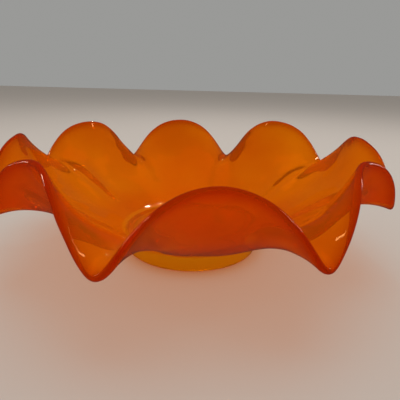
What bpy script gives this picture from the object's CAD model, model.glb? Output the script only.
import math

import bpy
import numpy as np
from mathutils import Matrix, Vector


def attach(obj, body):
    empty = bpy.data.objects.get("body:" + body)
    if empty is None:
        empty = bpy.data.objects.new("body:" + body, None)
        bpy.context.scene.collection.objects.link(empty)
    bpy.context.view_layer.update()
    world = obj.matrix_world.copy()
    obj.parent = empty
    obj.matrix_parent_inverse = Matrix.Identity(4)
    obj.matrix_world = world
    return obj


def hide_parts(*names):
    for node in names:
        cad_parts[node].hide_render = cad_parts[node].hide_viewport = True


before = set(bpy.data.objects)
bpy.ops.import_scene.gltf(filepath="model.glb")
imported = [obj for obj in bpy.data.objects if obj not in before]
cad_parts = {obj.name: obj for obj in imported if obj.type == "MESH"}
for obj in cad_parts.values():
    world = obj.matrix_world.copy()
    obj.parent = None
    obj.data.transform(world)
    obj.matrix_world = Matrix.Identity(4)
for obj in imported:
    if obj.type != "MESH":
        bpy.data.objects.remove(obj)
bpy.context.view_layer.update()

MM = 0.001

# ---------------------------------------------------------------- the bowl's sizes, in millimetres
ruffle_count = 8
lip_radius = 138.0
lip_height = 67.0
ruffle_rise = 20.4
ruffle_flare = 6.75
pinch = 0.56
first_crest = -83.5
crest_turn = [0, -0.5, -0.5, -0.5, 1.5, 0, -0.5, 0]
crest_lift = [-2, 0, 0.5, 2.5, -1.5, -0.5, 0.5, 0.5]
dip_lift = [-2.5, 1.5, 3, -2.5, -3, 6.5, -1, -2.5]
crest_shift = [-1, -4, 4, 2, 1, 3.5, -1.5, -4]
dip_shift = [1.5, 2, 1.5, -2.5, 0, -1.5, -2.5, 1]
wall_thickness = 3.8
root_slope = 24.0
crest_slope = 68.0
dip_slope = -20.0
root_pull = 38.0
crest_pull = 39.0
dip_pull = 32.0
floor_thickness = 4.0
floor_blend = 6.0
foot_radius = 53.0
foot_height = 11.5
collar_thickness = 6.0
rim_width = 3.0
outer_round = 1.0
inner_round = 0.8
azimuth_step = 0.001  # radians, for measuring how the lip climbs along its length
floor_top = foot_height + floor_thickness
ruffle_angle = 2 * math.pi / ruffle_count

# The softened corners round the foot.
throat_round = 1.6  # where the collar meets the wall, outside
ceiling_round = 2.5  # where the collar meets the floor's underside
collar_start = 3.5  # how far up the wall the collar's outline begins
collar_gap = 3.9  # the wall's own rows stop this far short of the foot's edge

# How finely the glass is drawn.
columns_per_ruffle = 64
wall_rows = 52
row_crowding = 1.25  # above 1, the wall's rows lie closer together towards the lip
blend_rows = 10
rounding_rows = 9
corner_rows = 7
floor_rings = (5, 12, 20, 28, 36, 42)
ceiling_radius = 30.0
underside_rings = (22, 14, 6)

# Unevenness from working the glass by hand.
ripple_depth = 0.10
ripple_seed = 11
ripple_waves = 26
ripple_shortest = 14.0
ripple_longest = 42.0
ripple_start = 6.0  # the ripples grow to their full depth over this height above the foot

red_reach = 5.0  # how far the redder glass of the lip reaches down from its edge


# ---------------------------------------------------------------- the bowl's shape
def around(values, turn):
    """Smooth closed curve through one value per ruffle; turn counts ruffles."""
    total = np.zeros_like(turn)
    for index, value in enumerate(values):
        gap = math.pi * (turn - index)
        narrow = np.tan(gap / len(values))
        on_it = np.abs(narrow) < 1e-9
        weight = np.where(on_it, 1.0, np.sin(gap) / (len(values) * np.where(on_it, 1.0, narrow)))
        total += value * weight
    return total


def along(slope):
    """Unit directions (outward, up) for slopes in degrees."""
    return np.stack([np.cos(np.radians(slope)), np.sin(np.radians(slope))], -1)


def inward(heading):
    """The direction through the glass, from its outside to its inside."""
    return np.stack([-heading[..., 1], heading[..., 0]], -1)


def lip_at(azimuth):
    """Lip points as (distance from the axis, height), and each one's share of a crest."""
    start = math.radians(first_crest)
    turn = (azimuth - start) / ruffle_angle
    swing = np.cos(ruffle_count * (azimuth - start - np.radians(around(crest_turn, turn))))
    wave = (swing + pinch) / (1 + pinch * swing)
    crest_height = lip_height + ruffle_rise + around(crest_lift, turn)
    dip_height = lip_height - ruffle_rise + around(dip_lift, turn - 0.5)
    crest_radius = lip_radius - ruffle_flare + around(crest_shift, turn)
    dip_radius = lip_radius + ruffle_flare + around(dip_shift, turn - 0.5)
    radius = (crest_radius + dip_radius) / 2 + (crest_radius - dip_radius) / 2 * swing
    height = (crest_height + dip_height) / 2 + (crest_height - dip_height) / 2 * wave
    return np.stack([radius, height], -1), (1 + wave) / 2


def curve(steps, *handles):
    """Points of a smooth curve at the given steps from 0 to 1, for every column at once."""
    degree = len(handles) - 1
    steps = np.asarray(steps)[:, None, None]
    return sum(
        math.comb(degree, index) * (1 - steps) ** (degree - index) * steps**index * handle[None]
        for index, handle in enumerate(handles)
    )


def rounded(corners, radii, rows):
    """An outline through corners, each rounded off to its radius."""
    points = [corners[0]]
    for before, corner, after, radius in zip(corners, corners[1:], corners[2:], radii):
        into = (corner - before) / np.linalg.norm(corner - before)
        out = (after - corner) / np.linalg.norm(after - corner)
        turn = math.acos(float(np.clip(into @ out, -1, 1)))
        run = radius * math.tan(turn / 2)
        first = corner - into * run
        last = corner + out * run
        for step in np.linspace(0, 1, rows):
            points.append((1 - step) ** 2 * first + 2 * step * (1 - step) * corner + step**2 * last)
    points.append(corners[-1])
    return np.array(points)


def column_azimuths():
    """Azimuths right round, closer together in the dips, where the lip bends most."""
    angles = []
    for step in range(ruffle_count * columns_per_ruffle):
        ruffle, part = divmod(step, columns_per_ruffle)
        half = math.pi * part / columns_per_ruffle
        across = math.sqrt(1 + pinch) * math.sin(half)
        swing = 2 * math.atan2(across, math.sqrt(1 - pinch) * math.cos(half))
        angles.append(math.radians(first_crest) + (ruffle + swing / (2 * math.pi)) * ruffle_angle)
    return np.array(angles)


def outline(azimuth):
    """Rows of points round the glass in every upright section, from the floor's centre over the lip
    and down to the underside's centre. With them go each point's distance from the lip's edge, and
    each row's share of the foot, which is 1 on the collar and 0 elsewhere."""
    lip, crest = lip_at(azimuth)
    heading = along(dip_slope + (crest_slope - dip_slope) * crest)
    pull = (dip_pull + (crest_pull - dip_pull) * crest)[:, None]
    climb = lip_at(azimuth + azimuth_step)[0] - lip_at(azimuth - azimuth_step)[0]
    lean = (climb * inward(heading)).sum(-1) / (2 * azimuth_step * lip[:, 0])
    half = (wall_thickness / 2 * np.hypot(1, lean))[:, None]
    root = along(root_slope)
    every = np.ones((len(azimuth), 1))
    foot_edge = np.array([foot_radius, foot_height])
    inner_line = foot_edge + inward(root) * wall_thickness
    corner = inner_line + root * ((floor_top - inner_line[1]) / root[1])
    corner_start = corner - np.array([floor_blend, 0])
    inner_root = corner + root * floor_blend
    wall_end = lip - heading * (wall_thickness / 2)
    inner_lip = wall_end + inward(heading) * half
    outer_lip = wall_end - inward(heading) * half
    # Handles this long carry the curve half a wall's thickness past the wall's end.
    edge = heading * (wall_thickness / 2 * 4 / 3)

    steps = 1 - (1 - np.linspace(0, 1, wall_rows)) ** row_crowding
    blend = curve(np.linspace(0, 1, blend_rows), every * corner_start, every * corner, every * inner_root)
    inside = curve(
        steps,
        every * inner_root,
        every * (inner_line + root * root_pull),
        inner_lip - heading * pull,
        inner_lip,
    )
    over = curve(np.linspace(0, 1, rounding_rows), inner_lip, inner_lip + edge, outer_lip + edge, outer_lip)
    outside = curve(
        1 - steps[::-1],
        outer_lip,
        outer_lip - heading * pull,
        every * (foot_edge + root * root_pull),
        every * foot_edge,
    )
    wall_only = np.linalg.norm(outside - foot_edge, axis=-1).min(1) > collar_gap

    rim_inner = foot_radius - outer_round - rim_width - inner_round
    collar = rounded(
        [
            foot_edge + root * collar_start,
            foot_edge,
            np.array([foot_radius, 0.0]),
            np.array([rim_inner, 0.0]),
            np.array([foot_radius - collar_thickness, foot_height]),
            np.array([ceiling_radius, foot_height]),
        ],
        [throat_round, outer_round, inner_round, ceiling_round],
        corner_rows,
    )

    def every_column(points):
        return points[:, None, :] * every[None]

    parts = [
        (every_column(np.array([[radius, floor_top] for radius in floor_rings])), 0.0),
        (blend[1:], 0.0),
        (inside[1:], 0.0),
        (over[1:-1], 0.0),
        (outside[wall_only], 0.0),
        (every_column(collar), 1.0),
        (every_column(np.array([[radius, foot_height] for radius in underside_rings])), 0.0),
    ]
    rows = np.concatenate([points for points, share in parts])
    foot_share = np.concatenate([np.full(len(points), share) for points, share in parts])
    to_edge = np.linalg.norm(rows - lip[None], axis=-1)
    return rows, to_edge, foot_share


def ripples(points):
    """Slow hand-made unevenness: a few crossing waves, the same every time."""
    draw = np.random.default_rng(ripple_seed)
    total = np.zeros(len(points))
    for _ in range(ripple_waves):
        direction = draw.normal(size=3)
        direction /= np.linalg.norm(direction)
        length = draw.uniform(ripple_shortest, ripple_longest)
        total += np.sin(points @ direction * (2 * math.pi / length) + draw.uniform(0, 2 * math.pi))
    return ripple_depth * total / math.sqrt(ripple_waves)


def make_glass():
    """The whole bowl as one closed skin of glass."""
    azimuth = column_azimuths()
    rows, to_edge, foot_share = outline(azimuth)
    count_rows, count_columns = rows.shape[:2]
    ring = np.stack([rows[..., 0] * np.cos(azimuth), rows[..., 0] * np.sin(azimuth), rows[..., 1]], -1)

    down = np.gradient(ring, axis=0)
    turn = np.roll(ring, -1, 1) - np.roll(ring, 1, 1)
    normal = np.cross(turn, down)
    normal /= np.linalg.norm(normal, axis=-1, keepdims=True)
    uneven = ripples(ring.reshape(-1, 3)).reshape(count_rows, count_columns)
    uneven *= np.clip((ring[..., 2] - foot_height) / ripple_start, 0, 1)
    ring = ring + normal * uneven[..., None]

    top = np.array([[0, 0, floor_top]])
    bottom = np.array([[0, 0, foot_height]])
    points = np.concatenate([ring.reshape(-1, 3), top, bottom]) * MM
    top_index = len(points) - 2
    bottom_index = len(points) - 1
    faces = []
    for row in range(count_rows - 1):
        here = row * count_columns
        below = here + count_columns
        for column in range(count_columns):
            after = (column + 1) % count_columns
            faces.append((here + column, below + column, below + after, here + after))
    last = (count_rows - 1) * count_columns
    for column in range(count_columns):
        after = (column + 1) % count_columns
        faces.append((top_index, column, after))
        faces.append((bottom_index, last + after, last + column))
    mesh = bpy.data.meshes.new("bowl_glass")
    mesh.from_pydata(points.tolist(), [], faces)
    mesh.shade_smooth()

    centres = np.zeros(2)
    near_edge = np.concatenate([np.exp(-(to_edge / red_reach) ** 2).reshape(-1), centres])
    on_foot = np.concatenate([np.repeat(foot_share, count_columns), centres])
    for name, values in (("near_edge", near_edge), ("on_foot", on_foot)):
        mesh.attributes.new(name, "FLOAT", "POINT").data.foreach_set("value", values.astype(np.float32))
    glass = bpy.data.objects.new("bowl_glass", mesh)
    bpy.context.scene.collection.objects.link(glass)
    return glass


# ---------------------------------------------------------------- finishes
class Link:
    """A node's output, so that shader maths reads as plain arithmetic."""

    def __init__(self, finish, socket):
        self.finish = finish
        self.socket = socket

    def _with(self, operation, *terms):
        return self.finish.node("ShaderNodeMath", {"operation": operation}, dict(enumerate(terms)))

    def __add__(self, other):
        return self._with("ADD", self, other)

    __radd__ = __add__

    def __sub__(self, other):
        return self._with("SUBTRACT", self, other)

    def __rsub__(self, other):
        return self._with("SUBTRACT", other, self)

    def __mul__(self, other):
        return self._with("MULTIPLY", self, other)

    __rmul__ = __mul__

    def at_least(self, other):
        return self._with("MAXIMUM", self, other)


class Finish:
    """A material's or a world's nodes, and the one way that they are made."""

    def __init__(self, owner):
        self.owner = owner
        owner.use_nodes = True
        self.tree = owner.node_tree
        self.tree.nodes.clear()

    def node(self, kind, settings=None, sockets=None, output=0):
        made = self.tree.nodes.new(kind)
        for name, value in (settings or {}).items():
            setattr(made, name, value)
        for name, value in (sockets or {}).items():
            if isinstance(value, Link):
                self.tree.links.new(value.socket, made.inputs[name])
            else:
                made.inputs[name].default_value = value
        return Link(self, made.outputs[output]) if made.outputs else None

    def blend_colours(self, share, first, second):
        # The colour sockets go by number, because the node has others of the same name.
        settings = {"data_type": "RGBA"}
        return self.node("ShaderNodeMix", settings, {0: share, 6: first, 7: second}, output=2)

    def attribute(self, name):
        return self.node("ShaderNodeAttribute", {"attribute_name": name}, output="Fac")


def glass_finish():
    """Clear orange glass, streaked, redder at the lip and amber in the foot."""
    finish = Finish(bpy.data.materials.new("ruffled_orange_glass"))
    place = finish.node("ShaderNodeTexCoord", output="Object")
    slow = finish.node("ShaderNodeTexNoise", {}, {"Vector": place, "Scale": 14.0, "Detail": 2.0})
    fine = finish.node("ShaderNodeTexNoise", {}, {"Vector": place, "Scale": 75.0, "Detail": 3.0})
    near_edge = finish.attribute("near_edge")
    on_foot = finish.attribute("on_foot")

    orange = (0.98, 0.27, 0.0015, 1)
    deep_orange = (0.88, 0.180, 0.001, 1)
    red_orange = (0.62, 0.040, 0.001, 1)
    amber = (1.0, 0.62, 0.01, 1)
    streak_contrast = 2.6
    lip_redness = 0.85
    streaks = (slow - 0.5) * streak_contrast + 0.5
    wall = finish.blend_colours(streaks, orange, deep_orange)
    tinted = finish.blend_colours(near_edge * lip_redness, wall, red_orange)
    colour = finish.blend_colours(on_foot, tinted, amber)

    polish = 0.012
    polish_change = 0.03
    roughness = polish + polish_change * slow * fine
    bump = finish.node("ShaderNodeBump", {}, {"Strength": 0.15, "Distance": 0.0007, "Height": slow})
    glass = finish.node("ShaderNodeBsdfPrincipled", {}, {
        "Base Color": colour,
        "Roughness": roughness,
        "IOR": 1.5,
        "Specular Tint": (1.0, 0.45, 0.08, 1),
        "Transmission Weight": 0.76,
        "Normal": bump,
    })
    # Lamplight and the glow from nearby surfaces pass straight through, tinted, and more so in the foot.
    shadow = finish.node("ShaderNodeLightPath", output="Is Shadow Ray")
    diffuse = finish.node("ShaderNodeLightPath", output="Is Diffuse Ray")
    lighting = shadow.at_least(diffuse)
    wall_tint = finish.node("ShaderNodeBsdfTransparent", {}, {"Color": (0.96, 0.75, 0.64, 1)})
    foot_tint = finish.node("ShaderNodeBsdfTransparent", {}, {"Color": (0.86, 0.46, 0.12, 1)})
    upper = finish.node("ShaderNodeMixShader", {}, {0: lighting, 1: glass, 2: wall_tint})
    surface = finish.node("ShaderNodeMixShader", {}, {0: lighting * on_foot, 1: upper, 2: foot_tint})
    inside = finish.node("ShaderNodeVolumeAbsorption", {}, {"Color": (1.0, 0.55, 0.2, 1), "Density": 40.0})
    finish.node("ShaderNodeOutputMaterial", {}, {"Surface": surface, "Volume": inside})
    return finish.owner


def floor_finish():
    """A plain matt table, pale and slightly warm."""
    finish = Finish(bpy.data.materials.new("pale_floor"))
    colour = {"Base Color": (0.60, 0.53, 0.475, 1), "Roughness": 0.9}
    surface = finish.node("ShaderNodeBsdfPrincipled", {}, colour)
    finish.node("ShaderNodeOutputMaterial", {}, {"Surface": surface})
    return finish.owner


def studio_world():
    """Even grey light from all round, darker as a backdrop and faint in the polish of the glass."""
    finish = Finish(bpy.data.worlds.new("studio"))
    mirrored = finish.node("ShaderNodeLightPath", output="Is Glossy Ray")
    seen = finish.node("ShaderNodeLightPath", output="Is Camera Ray")
    room_light = 0.66
    mirror_loss = 0.625
    backdrop_loss = 0.20
    strength = room_light - mirror_loss * mirrored - backdrop_loss * seen
    sky = finish.node("ShaderNodeBackground", {}, {"Color": (0.70, 0.70, 0.68, 1), "Strength": strength})
    finish.node("ShaderNodeOutputWorld", {}, {"Surface": sky})
    return finish.owner


# ---------------------------------------------------------------- the studio, in metres
def lay_floor():
    """A wide square table top, a hair below the foot."""
    side = 4.0
    gap = 0.0002
    corners = [(-side, -side, 0), (side, -side, 0), (side, side, 0), (-side, side, 0)]
    mesh = bpy.data.meshes.new("floor")
    mesh.from_pydata(corners, [], [(0, 1, 2, 3)])
    mesh.materials.append(floor_finish())
    floor = bpy.data.objects.new("floor", mesh)
    floor.location.z = -gap
    floor.visible_glossy = False
    bpy.context.scene.collection.objects.link(floor)
    return floor


def soft_light(name, place, width, length, power):
    """A lamp with a flat rectangular face, turned towards the bowl."""
    aim = Vector((0, 0, 0.03))
    lamp = bpy.data.lights.new(name, "AREA")
    lamp.shape = "RECTANGLE"
    lamp.size = width
    lamp.size_y = length
    lamp.energy = power
    holder = bpy.data.objects.new(name, lamp)
    holder.location = place
    holder.rotation_euler = (aim - Vector(place)).to_track_quat("-Z", "Y").to_euler()
    bpy.context.scene.collection.objects.link(holder)
    return holder


def set_camera():
    """The camera stands close in front of the bowl and looks slightly down over its near lip."""
    place = (0.0068, -0.2806, 0.1297)
    tilt_down = 0.322
    roll = 0.0263
    lens = bpy.data.cameras.new("camera")
    lens.lens = 32.7
    lens.sensor_width = 36.0
    camera = bpy.data.objects.new("camera", lens)
    camera.matrix_world = (
        Matrix.Translation(place)
        @ Matrix.Rotation(math.pi / 2 - tilt_down, 4, "X")
        @ Matrix.Rotation(roll, 4, "Z")
    )
    bpy.context.scene.collection.objects.link(camera)
    bpy.context.scene.camera = camera


# ---------------------------------------------------------------- putting it together
glass = make_glass()
glass.data.materials.append(glass_finish())
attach(glass, "root")
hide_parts("foot", "body", "lip")

lay_floor()

softbox = soft_light("overhead_softbox", (0.1, 0.3, 1.5), width=1.2, length=1.2, power=10.0)
softbox.visible_glossy = False
soft_light("back_lamp", (0.05, 0.95, 0.85), width=0.032, length=0.032, power=0.8)
soft_light("left_strip", (-0.95, 0.10, 0.45), width=0.05, length=0.5, power=0.9)
soft_light("right_strip", (1.0, 0.30, 0.45), width=0.05, length=0.5, power=0.9)
bpy.context.scene.world = studio_world()

set_camera()
bpy.context.scene.view_settings.view_transform = "Standard"
